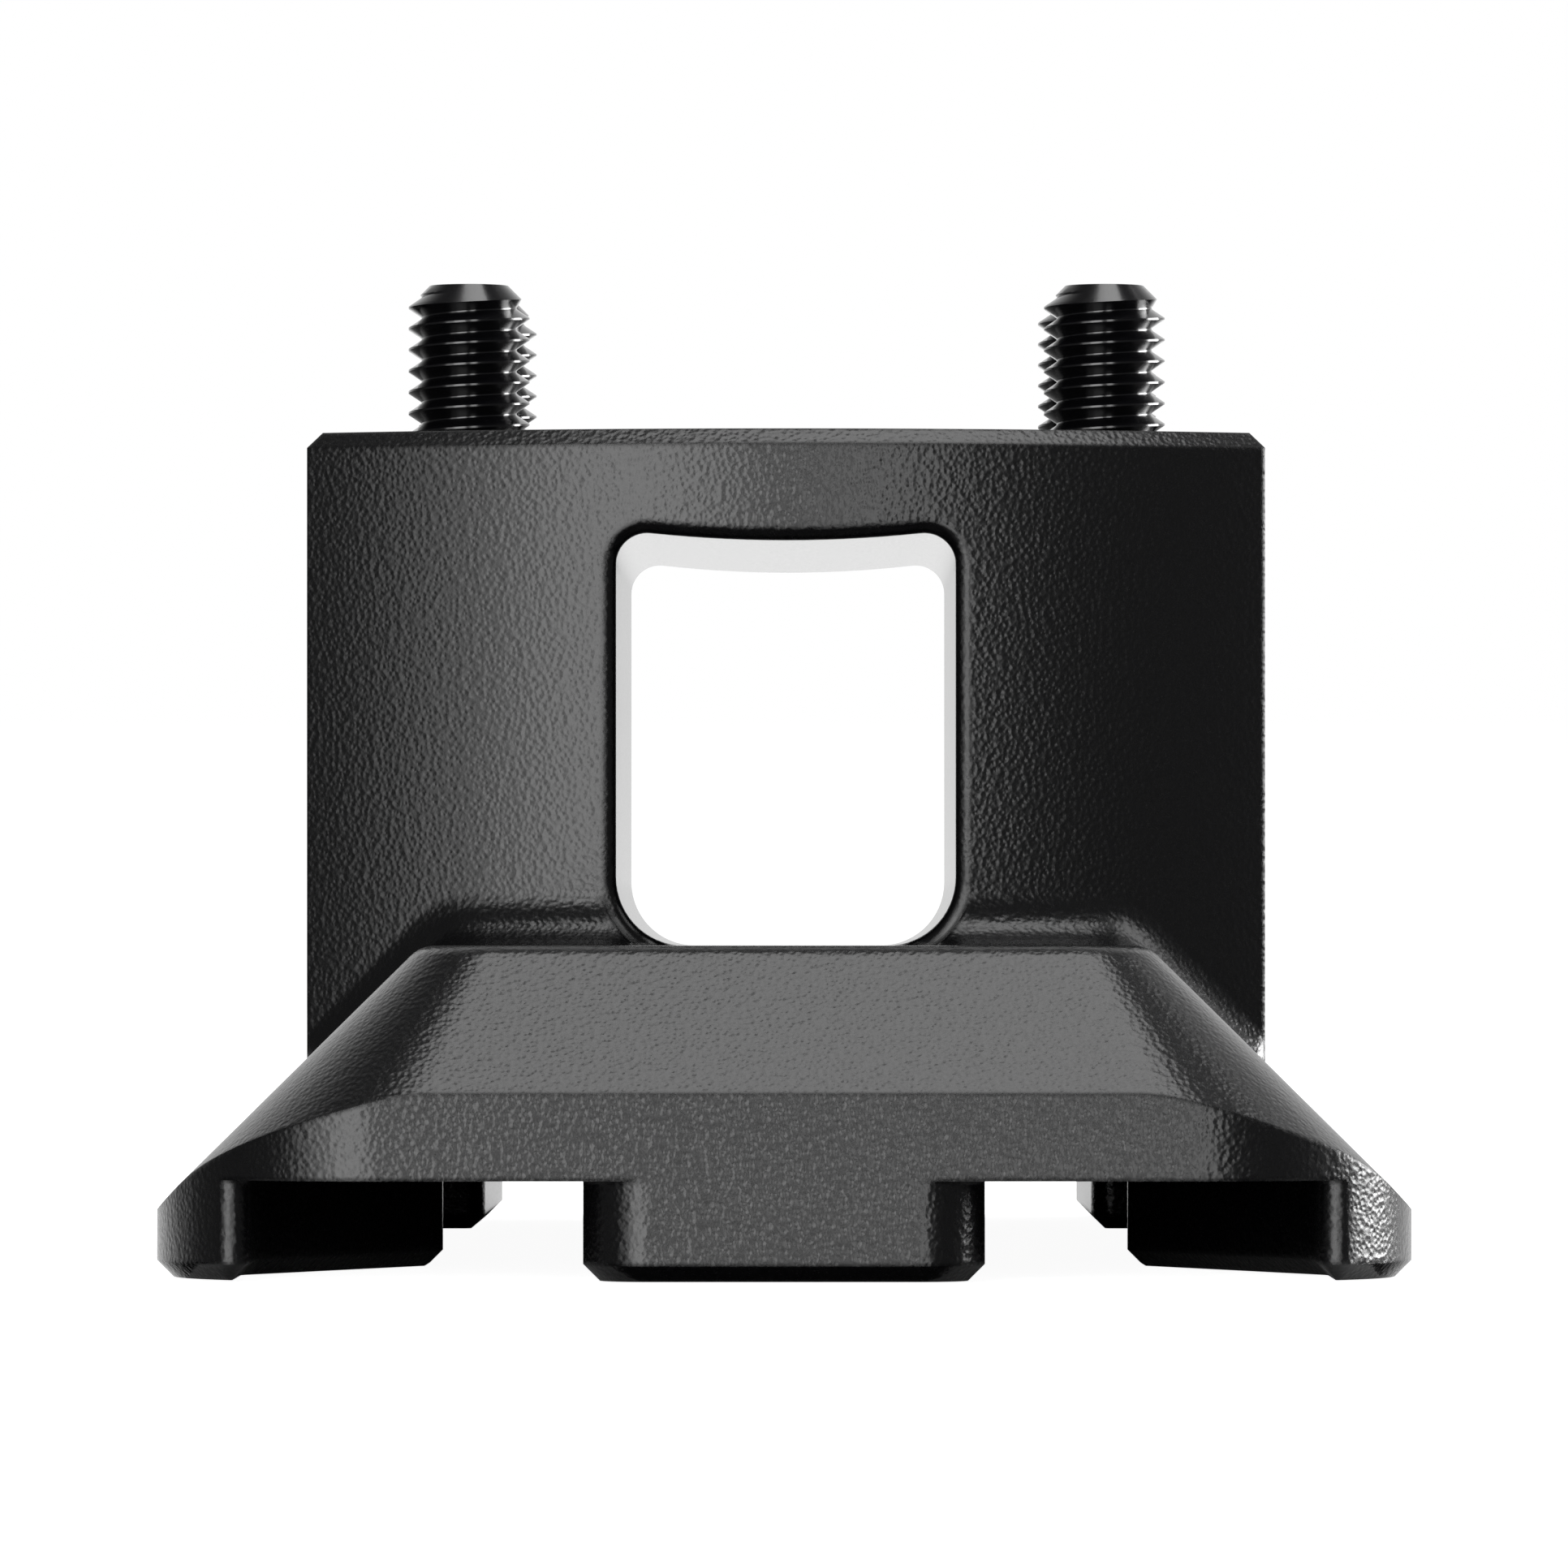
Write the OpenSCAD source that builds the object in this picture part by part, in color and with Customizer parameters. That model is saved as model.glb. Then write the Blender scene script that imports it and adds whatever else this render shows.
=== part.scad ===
// Lens support bracket: a one-piece block with a sighting window on a long
// sloped foot, held to the lens collar by four screws that stand out of its top.
// X runs across, Y from the front to the rear, Z up from the surface it stands on.
// The origin is under the middle of the foot.

/* [Foot] */
// Width of the foot over its two long sides
foot_w = 38; // [36:0.5:44]
// Length of the foot from front to rear
foot_l = 87; // [80:1:110]
// Height of the flat top of the foot
foot_h = 10; // [9:0.25:12]
// Radius of the four upright corners of the foot
foot_corner_r = 7; // [5:0.5:9]
// Height of the upright front and rear faces
foot_end_h = 5.6; // [5:0.1:7]
// Height of the upright edge along each long side
foot_side_h = 2; // [1.5:0.1:2.75]
// Rounding between the flat top and its slopes
crest_r = 1; // [0.5:0.25:1.5]

/* [Underside] */
// Depth of the recess under the foot
recess_h = 3; // [2.75:0.25:3.5]
// Chamfer along every bottom edge
bottom_chamfer = 0.5; // [0.3:0.1:0.8]
// Width of the rail left along each long side
rail_w = 3; // [2.5:0.25:4]
// Width of the channel between the tips of the side tabs
channel_w = 21.4; // [20:0.2:23]
// Width of the tab in the middle of the front
front_tab_w = 12; // [10:0.5:14]
// Length of the tab in the middle of the front
front_tab_l = 9; // [7:0.5:12]
// Radius of the upright corners of the front tab
front_tab_r = 2; // [1:0.25:3]
// Straight part of the front posts before their oblique wall starts
post_l = 7.5; // [6:0.5:9]
// Rounding of the inner front edge of each post
post_r = 0.5; // [0.3:0.1:0.8]
// Distance from the front end to the tips of the front side tabs
side_tab_l = 17.6; // [16:0.2:20]
// Width of the blunt tip of a front side tab
side_tab_tip = 0.5; // [0.3:0.1:1]
// Length of the two rear tabs
rear_tab_l = 23; // [18:0.5:26]
// Rounding of the inner front edge of each rear tab
rear_tab_r = 0.8; // [0.4:0.1:1.2]

/* [Block] */
// Width of the block
block_w = 31; // [29:0.5:32]
// Thickness of the block from front to rear, at its middle
block_d = 33; // [30:0.5:36]
// Height of the top of the block above the bottom of the foot
block_h = 26.6; // [24:0.2:32]
// Radius of the bulged front and rear faces
face_r = 36; // [32:1:60]
// Chamfer round the top of the block
top_chamfer = 0.5; // [0.3:0.1:0.8]

/* [Window] */
// Width of the window through the block
window_w = 10.9; // [9:0.1:11.5]
// Wall between the middle of the window's ceiling and the top of the block
lintel_h = 3.6; // [3:0.2:6]
// Radius of the sagging ceiling
ceiling_r = 40; // [30:1:60]
// Radius of the window's two upper corners
window_top_r = 1; // [0.5:0.1:1.5]
// Radius of the window's two lower corners
window_bottom_r = 2.2; // [1.5:0.1:3]

/* [Screws] */
// Outer diameter of the screws' thread
screw_d = 4; // [3.5:0.5:4]
// Length of a screw under its head
screw_l = 20; // [16:1:22]
// Length of screw that stands out of the top
screw_out = 5.2; // [4:0.2:7]
// Distance between the left and the right screws
screw_dx = 21; // [20:0.5:21.5]
// Distance between the front and the rear screws
screw_dy = 9.8; // [8.5:0.1:12]
// Diameter of a screw's head
head_d = 7; // [6.5:0.1:7]
// Height of a screw's head
head_h = 4; // [3:0.25:4]
// Width across the flats of the hexagonal socket
socket_w = 3; // [2:0.5:3]
// Depth of the hexagonal socket
socket_h = 2; // [1.5:0.25:2.5]
// Chamfer at the tip of a screw
tip_chamfer = 0.7; // [0.4:0.1:0.9]
// Gap round the shank in its hole, on the diameter
hole_gap = 0.3; // [0.2:0.1:0.5]
// Gap round the head in its counterbore, on the diameter
head_gap = 0.5; // [0.3:0.1:0.8]

/* [Hidden] */
$fn = 96;

// How far cutting shapes run past the surface they cut
past = 2;
// The corner cones are set in by this much, so that their seams are real edges
seam_step = 0.01;

// A 45 degree slope falls by one for each one outwards. Its height at the edge
// of the flat core is the foot's, plus what the crest's rounding takes off.
slope_top = foot_h + crest_r * (sqrt(2) - 1);
core_x = foot_w / 2 - (slope_top - foot_side_h);
core_y = foot_l / 2 - (slope_top - foot_end_h);

rail_x = foot_w / 2 - rail_w;
channel_x = channel_w / 2;
front_y = -foot_l / 2;
post_y = front_y + post_l;
tip_y = front_y + side_tab_l;
bay_front_y = tip_y + side_tab_tip;
bay_rear_y = foot_l / 2 - rear_tab_l;

// The axis of each bulged face lies behind it, on the other side of the block
face_axis_y = face_r - block_d / 2;
// Where a bulged face meets the block's side
side_y = sqrt(pow(face_r, 2) - pow(block_w / 2, 2)) - face_axis_y;

window_x = window_w / 2;
ceiling_z = block_h - lintel_h;
ceiling_axis_z = ceiling_z + ceiling_r;

seat_z = block_h + screw_out - screw_l;
hole_d = screw_d + hole_gap;
counterbore_d = head_d + head_gap;

// The point of a circle of radius r at an angle
function polar(r, a) = [r * cos(a), r * sin(a)];
function unit(v) = v / norm(v);

// Draws its children on both sides of the middle plane
module both_sides() {
    children();
    mirror([1, 0, 0]) children();
}

// A profile of X and Z, drawn out along Y
module along_y(y0, y1) {
    translate([0, y1, 0])
        rotate([90, 0, 0])
            linear_extrude(y1 - y0)
                children();
}

// A profile of Y and Z, drawn out along X
module along_x(x0, x1) {
    translate([x0, 0, 0])
        rotate([90, 0, 90])
            linear_extrude(x1 - x0)
                children();
}

// A straight slab's section, chamfered at its two lower corners
module slab_section(a, b, h) {
    polygon([
        [a + bottom_chamfer, 0],
        [b - bottom_chamfer, 0],
        [b, bottom_chamfer],
        [b, h],
        [a, h],
        [a, bottom_chamfer],
    ]);
}

// A cylinder with a chamfered bottom edge
module round_post(r, h) {
    rotate_extrude()
        polygon([
            [0, 0],
            [r - bottom_chamfer, 0],
            [r, bottom_chamfer],
            [r, h],
            [0, h],
        ]);
}

// A slab with round upright corners and a chamfer along its bottom
module round_slab(x0, x1, y0, y1, r, h) {
    along_y(y0 + r, y1 - r) slab_section(x0, x1, h);
    along_x(x0 + r, x1 - r) slab_section(y0, y1, h);
    for (x = [x0 + r, x1 - r], y = [y0 + r, y1 - r])
        translate([x, y, 0])
            round_post(r, h);
}

// A slope's section: flat to the core's edges, rounded, then down at 45 degrees
module slope_section(core) {
    run = crest_r / sqrt(2);
    polygon([
        [-core - slope_top, 0],
        [core + slope_top, 0],
        [core + run, slope_top - run],
        [core, foot_h],
        [-core, foot_h],
        [-core - run, slope_top - run],
    ]);
    for (x = [-core, core])
        translate([x, foot_h - crest_r])
            circle(crest_r);
}

// A quarter of the cone that carries the slopes round a corner
module slope_corner() {
    rotate_extrude(angle = 90)
        intersection() {
            translate([-seam_step, 0]) slope_section(0);
            square([slope_top, foot_h]);
        }
}

// The foot's upper form: a flat top with 45 degree slopes and cone-shaped corners
module foot_slopes() {
    along_y(-core_y, core_y) slope_section(core_x);
    along_x(-core_x, core_x) slope_section(core_y);
    for (mx = [0, 1], my = [0, 1])
        mirror([mx, 0, 0])
            mirror([0, my, 0])
                translate([core_x, core_y, 0])
                    slope_corner();
}

// A section of a cut in the underside, flared by the chamfer at its mouth
module mouth_section(a, b) {
    polygon([
        [a - bottom_chamfer - past, -past],
        [b + bottom_chamfer + past, -past],
        [b, bottom_chamfer],
        [b, recess_h],
        [a, recess_h],
        [a, bottom_chamfer],
    ]);
}

// Everything on the inner side of the oblique wall of the right front post
module oblique_side() {
    run = [channel_x - rail_x, tip_y - post_y];
    translate([rail_x, post_y, 0])
        rotate([0, 0, atan2(run.y, run.x) - 90])
            along_y(-foot_w, foot_w)
                mouth_section(-2 * foot_w, 0);
}

// The front pocket: wide between the posts, narrowed by their oblique walls
module front_pocket() {
    intersection() {
        along_y(front_y - past, tip_y + past) mouth_section(-rail_x, rail_x);
        oblique_side();
        mirror([1, 0, 0]) oblique_side();
    }
}

// Takes the inner edge off a rear tab, leaving it round
module rear_tab_edge() {
    translate([channel_x, bay_rear_y, 0])
        difference() {
            translate([-past, -past, -past])
                cube([past + rear_tab_r, past + rear_tab_r, past + recess_h]);
            translate([rear_tab_r, rear_tab_r, 0]) round_post(rear_tab_r, recess_h + past);
        }
}

// Takes the inner front edge off a post, leaving it round
module post_edge() {
    corner = [foot_w / 2 - foot_corner_r, front_y + foot_corner_r];
    x = rail_x + post_r;
    reach = foot_corner_r - post_r;
    y = corner.y - sqrt(pow(reach, 2) - pow(x - corner.x, 2));
    outer = corner + unit([x, y] - corner) * (foot_corner_r + past);
    difference() {
        translate([0, 0, -past])
            linear_extrude(past + recess_h)
                polygon([[x, y], [rail_x - past, y], [rail_x - past, outer.y], outer]);
        translate([x, y, 0]) round_post(post_r, recess_h + past);
    }
}

// The recess that runs under the foot from end to end
module underside() {
    difference() {
        union() {
            front_pocket();
            along_y(post_y, bay_front_y + past) mouth_section(-channel_x, channel_x);
            intersection() {
                along_y(-foot_l, foot_l) mouth_section(-rail_x, rail_x);
                along_x(-foot_w, foot_w) mouth_section(bay_front_y, bay_rear_y);
            }
            along_y(bay_rear_y - past, foot_l / 2 + past) mouth_section(-channel_x, channel_x);
            both_sides() {
                rear_tab_edge();
                post_edge();
            }
        }
        round_slab(
            -front_tab_w / 2, front_tab_w / 2,
            front_y, front_y + front_tab_l,
            front_tab_r, recess_h + past
        );
    }
}

// A bulged face: a tall drum whose top edge is chamfered
module face_drum() {
    rotate_extrude($fn = 4 * $fn)
        polygon([
            [0, recess_h + past / 2],
            [face_r, recess_h + past / 2],
            [face_r, block_h - top_chamfer],
            [face_r - top_chamfer, block_h],
            [0, block_h],
        ]);
}

// The block before it is drilled: two bulged faces and two flat, chamfered sides
module block_form() {
    intersection() {
        translate([0, face_axis_y, 0]) face_drum();
        translate([0, -face_axis_y, 0]) face_drum();
        along_y(-block_d, block_d)
            polygon([
                [-block_w / 2, 0],
                [block_w / 2, 0],
                [block_w / 2, block_h - top_chamfer],
                [block_w / 2 - top_chamfer, block_h],
                [top_chamfer - block_w / 2, block_h],
                [-block_w / 2, block_h - top_chamfer],
            ]);
    }
}

// The window's upper corner: where its round meets the ceiling and the side
corner_x = window_x - window_top_r;
corner_z = ceiling_axis_z - sqrt(pow(ceiling_r + window_top_r, 2) - pow(corner_x, 2));
ceiling_half_angle = asin(corner_x / (ceiling_r + window_top_r));

// The window from its floor to its sagging ceiling, seen from the front
module window_outline() {
    low_x = window_x - window_bottom_r;
    low_z = foot_h + window_bottom_r;
    touch = ceiling_r * polar(1, ceiling_half_angle - 90) + [0, ceiling_axis_z];
    translate([-window_x, low_z]) square([window_w, corner_z - low_z]);
    translate([-low_x, foot_h]) square([2 * low_x, 2 * window_bottom_r]);
    for (x = [-low_x, low_x])
        translate([x, low_z])
            circle(window_bottom_r);
    difference() {
        polygon([
            [-corner_x, low_z],
            [corner_x, low_z],
            [corner_x, corner_z],
            touch,
            [touch.x, ceiling_axis_z],
            [-touch.x, ceiling_axis_z],
            [-touch.x, touch.y],
            [-corner_x, corner_z],
        ]);
        translate([0, ceiling_axis_z]) circle(ceiling_r);
    }
}

// The round upper corners of the window, seen from the front
module window_corners() {
    for (x = [-corner_x, corner_x])
        translate([x, corner_z])
            circle(window_top_r);
}

// A screw's stepped hole, from the recess up through the top
module screw_hole() {
    cylinder(h = block_h + past, d = hole_d);
    cylinder(h = seat_z, d = counterbore_d);
}

module screw_places() {
    for (x = [-screw_dx / 2, screw_dx / 2], y = [-screw_dy / 2, screw_dy / 2])
        translate([x, y, 0])
            children();
}

// The bracket's single casting: foot, block and window
module bracket_body() {
    color("#1b1b1c")
        difference() {
            union() {
                intersection() {
                    foot_slopes();
                    round_slab(
                        -foot_w / 2, foot_w / 2, -foot_l / 2, foot_l / 2,
                        foot_corner_r, foot_h + past
                    );
                }
                difference() {
                    block_form();
                    along_y(-block_d, block_d) window_outline();
                    along_y(-block_d, block_d) window_corners();
                }
            }
            underside();
            screw_places() screw_hole();
        }
}

// A cap screw standing with its head down: a socket in the head, a plain shank
// of the thread's outer diameter and a chamfered tip
module cap_screw(x, y) {
    r = screw_d / 2;
    translate([x, y, seat_z])
        color("#0d0d0e")
            difference() {
                rotate_extrude()
                    polygon([
                        [0, -head_h],
                        [head_d / 2, -head_h],
                        [head_d / 2, 0],
                        [r, 0],
                        [r, screw_l - tip_chamfer],
                        [r - tip_chamfer, screw_l],
                        [0, screw_l],
                    ]);
                translate([0, 0, -head_h - past])
                    cylinder(h = past + socket_h, d = socket_w / cos(30), $fn = 6);
            }
}

module screw_front_left() { cap_screw(-screw_dx / 2, -screw_dy / 2); }
module screw_front_right() { cap_screw(screw_dx / 2, -screw_dy / 2); }
module screw_rear_left() { cap_screw(-screw_dx / 2, screw_dy / 2); }
module screw_rear_right() { cap_screw(screw_dx / 2, screw_dy / 2); }

bracket_body();
screw_front_left();
screw_front_right();
screw_rear_left();
screw_rear_right();
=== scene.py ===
"""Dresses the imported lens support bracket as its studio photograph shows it.

The casting wears a black, finely grained powder coat. Four blackened cap
screws stand in it, with real threads. Everything is in metres, in the frame
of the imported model: X across, Y from front to rear, Z up.
"""

import logging
import math
from dataclasses import dataclass, field
from enum import Enum
from typing import Any, Callable, Sequence

import bmesh
import bpy
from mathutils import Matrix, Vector


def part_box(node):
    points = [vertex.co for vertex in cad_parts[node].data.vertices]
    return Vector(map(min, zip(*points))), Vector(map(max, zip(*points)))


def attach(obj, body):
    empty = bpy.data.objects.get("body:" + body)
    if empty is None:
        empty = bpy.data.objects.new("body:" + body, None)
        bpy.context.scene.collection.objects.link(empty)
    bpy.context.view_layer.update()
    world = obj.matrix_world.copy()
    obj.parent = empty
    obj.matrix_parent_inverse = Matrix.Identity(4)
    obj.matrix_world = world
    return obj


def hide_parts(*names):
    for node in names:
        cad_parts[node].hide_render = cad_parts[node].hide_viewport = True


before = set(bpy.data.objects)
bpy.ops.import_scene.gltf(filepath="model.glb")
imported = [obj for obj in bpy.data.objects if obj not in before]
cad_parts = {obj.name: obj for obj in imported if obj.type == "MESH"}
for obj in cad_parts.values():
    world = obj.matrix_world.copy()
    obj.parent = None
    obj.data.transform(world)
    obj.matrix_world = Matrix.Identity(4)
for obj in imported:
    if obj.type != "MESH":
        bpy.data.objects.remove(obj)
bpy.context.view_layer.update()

LOG = logging.getLogger("bracket")
MM = 0.001
SAME_POINT = 1e-7
WHITE = (1.0, 1.0, 1.0, 1.0)

Point = tuple[float, float, float]
Pair = tuple[float, float]
Outline = list[Pair]
Colour = tuple[float, float, float, float]


def linear(code: str) -> Colour:
    """Turns an sRGB hex colour into the linear colour that a shader takes.

    Args:
        code: Six hex digits, with or without a leading #.

    Returns:
        The linear red, green and blue, and an alpha of one.
    """
    digits = code.lstrip("#")
    channels = [int(digits[i : i + 2], 16) / 255 for i in (0, 2, 4)]
    red, green, blue = (
        c / 12.92 if c <= 0.04045 else ((c + 0.055) / 1.055) ** 2.4 for c in channels
    )
    return red, green, blue, 1.0


def add_node(
    tree: bpy.types.NodeTree,
    kind: str,
    settings: dict[str, Any] | None = None,
    **sockets: Any,
) -> bpy.types.Node:
    """Adds a node to a tree, with its settings, values and links.

    Args:
        tree: The node tree that takes the node.
        kind: The node's type, such as ShaderNodeBump.
        settings: Properties of the node itself.
        **sockets: A value or an output to link for each input, by its name with
            underscores for spaces, or by its number after an underscore.

    Returns:
        The new node.
    """
    node = tree.nodes.new(kind)
    for name, value in (settings or {}).items():
        setattr(node, name, value)
    for name, value in sockets.items():
        number = name.lstrip("_")
        key = int(number) if number.isdigit() else name.replace("_", " ")
        socket = node.inputs[key]
        if isinstance(value, bpy.types.NodeSocket):
            tree.links.new(value, socket)
        else:
            socket.default_value = value
    return node


def calculated(
    tree: bpy.types.NodeTree, operation: str, *values: Any
) -> bpy.types.NodeSocket:
    """Calculates with values or outputs.

    Args:
        tree: The node tree.
        operation: What is done, such as MULTIPLY.
        *values: The numbers, or the outputs that give them.

    Returns:
        The output with the result.
    """
    sockets = {f"_{i}": value for i, value in enumerate(values)}
    node = add_node(tree, "ShaderNodeMath", {"operation": operation}, **sockets)
    return node.outputs["Value"]


def mapped(
    tree: bpy.types.NodeTree,
    value: bpy.types.NodeSocket,
    onto: Pair,
    span: Pair = (0.0, 1.0),
    form: str = "LINEAR",
) -> bpy.types.NodeSocket:
    """Maps a value from one span onto another, and no further.

    Args:
        tree: The node tree.
        value: The output with the value.
        onto: What the span's two ends become.
        span: The span in which the value changes.
        form: The change's form between both ends.

    Returns:
        The output with the result.
    """
    node = add_node(
        tree,
        "ShaderNodeMapRange",
        {"interpolation_type": form},
        Value=value,
        From_Min=span[0],
        From_Max=span[1],
        To_Min=onto[0],
        To_Max=onto[1],
    )
    return node.outputs["Result"]


def noise(
    tree: bpy.types.NodeTree,
    place: bpy.types.NodeSocket,
    size_mm: float,
    detail: float,
) -> bpy.types.Node:
    """Adds noise with patches of a real size.

    Args:
        tree: The node tree.
        place: The output with the place.
        size_mm: How far apart the patches lie, in millimetres.
        detail: How many finer layers lie over it.

    Returns:
        The noise node.
    """
    scale = 1 / (size_mm * MM)
    return add_node(
        tree, "ShaderNodeTexNoise", Vector=place, Scale=scale, Detail=detail
    )


def new_material(name: str) -> tuple[bpy.types.Material, bpy.types.NodeTree]:
    """Makes an empty node material.

    Args:
        name: The material's name.

    Returns:
        The material and its emptied node tree.
    """
    material = bpy.data.materials.new(name)
    material.use_nodes = True
    material.node_tree.nodes.clear()
    return material, material.node_tree


class EdgeForm(Enum):
    """How an edge was left, by its rounding in millimetres."""

    CAST = 0.22
    WINDOW_RIM = 0.5


@dataclass(frozen=True)
class PowderCoat:
    """Black polyester powder coat on cast aluminium, with a fine leathery grain.

    The grain is the orange-peel wrinkle that a textured powder cures to. To the
    eye the coat is a near black with a satin gloss: it shows a lamp as a soft
    grey field, and the grain breaks the field's edge into small flecks. Edges
    look rounded, because the powder pulls back from them.
    """

    name: str = "black_powder_coat"
    body_colour: str = "#060607"
    worn_colour: str = "#0b0b0c"
    roughness: float = 0.25
    smoother: float = 0.03
    rougher: float = 0.05
    grain_mm: float = 0.17
    grain_depth_mm: float = 0.015
    grain_softness: float = 0.6
    grain_bend: float = 0.25
    pore_mm: float = 0.09
    pore_share: float = 0.25

    def build(self) -> bpy.types.Material:
        """Builds the coat's material.

        Returns:
            The material.
        """
        material, tree = new_material(self.name)
        place = add_node(tree, "ShaderNodeTexCoord").outputs["Object"]
        drift = noise(tree, place, 2 * self.grain_mm, 2.0)
        bent = add_node(
            tree,
            "ShaderNodeVectorMath",
            {"operation": "MULTIPLY_ADD"},
            _0=drift.outputs["Color"],
            _1=(self.grain_bend * self.grain_mm * MM,) * 3,
            _2=place,
        )
        grain = add_node(
            tree,
            "ShaderNodeTexVoronoi",
            {"feature": "SMOOTH_F1"},
            Vector=bent.outputs["Vector"],
            Scale=1 / (self.grain_mm * MM),
            Smoothness=self.grain_softness,
        )
        pores = noise(tree, place, self.pore_mm, 1.0).outputs["Fac"]
        height = calculated(
            tree, "MULTIPLY_ADD", pores, self.pore_share, grain.outputs["Distance"]
        )
        rounded = add_node(
            tree, "ShaderNodeBevel", {"samples": 4}, Radius=EdgeForm.CAST.value * MM
        )
        bump = add_node(
            tree,
            "ShaderNodeBump",
            Height=height,
            Distance=self.grain_depth_mm * MM,
            Strength=1.0,
            Normal=rounded.outputs["Normal"],
        )
        tone = add_node(
            tree,
            "ShaderNodeMix",
            {"data_type": "RGBA"},
            Factor=drift.outputs["Fac"],
            _6=linear(self.body_colour),
            _7=linear(self.worn_colour),
        )
        rough = (self.roughness - self.smoother, self.roughness + self.rougher)
        shader = add_node(
            tree,
            "ShaderNodeBsdfPrincipled",
            Base_Color=tone.outputs[2],
            Roughness=mapped(tree, pores, rough),
            Normal=bump.outputs["Normal"],
        )
        add_node(tree, "ShaderNodeOutputMaterial", Surface=shader.outputs["BSDF"])
        return material


@dataclass(frozen=True)
class BlackOxide:
    """Blackened, oiled screw steel: a rolled thread and a forged head.

    To the eye the oxide is near black, and its film of oil gives each flank of
    the thread a narrow, bright highlight.
    """

    colour: str = "#08080a"
    roughness: float = 0.18
    smoother: float = 0.03
    rougher: float = 0.05
    mark_mm: float = 0.10
    mark_depth_mm: float = 0.001
    mark_strength: float = 0.6
    oil: float = 0.25
    oil_roughness: float = 0.12

    def build(self) -> bpy.types.Material:
        """Builds the screws' material.

        Returns:
            The material.
        """
        material, tree = new_material("black_oxide_steel")
        place = add_node(tree, "ShaderNodeTexCoord").outputs["Object"]
        marks = noise(tree, place, self.mark_mm, 2.0).outputs["Fac"]
        rough = (self.roughness - self.smoother, self.roughness + self.rougher)
        bump = add_node(
            tree,
            "ShaderNodeBump",
            Height=marks,
            Distance=self.mark_depth_mm * MM,
            Strength=self.mark_strength,
        )
        shader = add_node(
            tree,
            "ShaderNodeBsdfPrincipled",
            Base_Color=linear(self.colour),
            Roughness=mapped(tree, marks, rough),
            Normal=bump.outputs["Normal"],
            Coat_Weight=self.oil,
            Coat_Roughness=self.oil_roughness,
        )
        add_node(tree, "ShaderNodeOutputMaterial", Surface=shader.outputs["BSDF"])
        return material


@dataclass(frozen=True)
class StudioPaper:
    """Matt white seamless paper, lit until it all but vanishes.

    To the eye it is an even white without a far edge, and only the object's
    own soft shadow marks it.
    """

    glow: float = 0.95
    colour: str = "#e6e6e6"

    def build(self) -> bpy.types.Material:
        """Builds the paper's material.

        Returns:
            The material.
        """
        material, tree = new_material("studio_paper")
        rays = add_node(tree, "ShaderNodeLightPath")
        paper = add_node(tree, "ShaderNodeBsdfDiffuse", Color=linear(self.colour))
        seen = calculated(tree, "MULTIPLY", rays.outputs["Is Camera Ray"], self.glow)
        white = add_node(tree, "ShaderNodeEmission", Color=WHITE, Strength=seen)
        both = add_node(
            tree,
            "ShaderNodeAddShader",
            _0=paper.outputs["BSDF"],
            _1=white.outputs["Emission"],
        )
        add_node(tree, "ShaderNodeOutputMaterial", Surface=both.outputs["Shader"])
        return material


def around(radius: float, angle: float, height: float) -> Point:
    """Places a point round the Z axis.

    Args:
        radius: The distance from the axis, in millimetres.
        angle: The angle from the X axis, in radians.
        height: The height, in millimetres.

    Returns:
        The point in metres.
    """
    return radius * MM * math.cos(angle), radius * MM * math.sin(angle), height * MM


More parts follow.
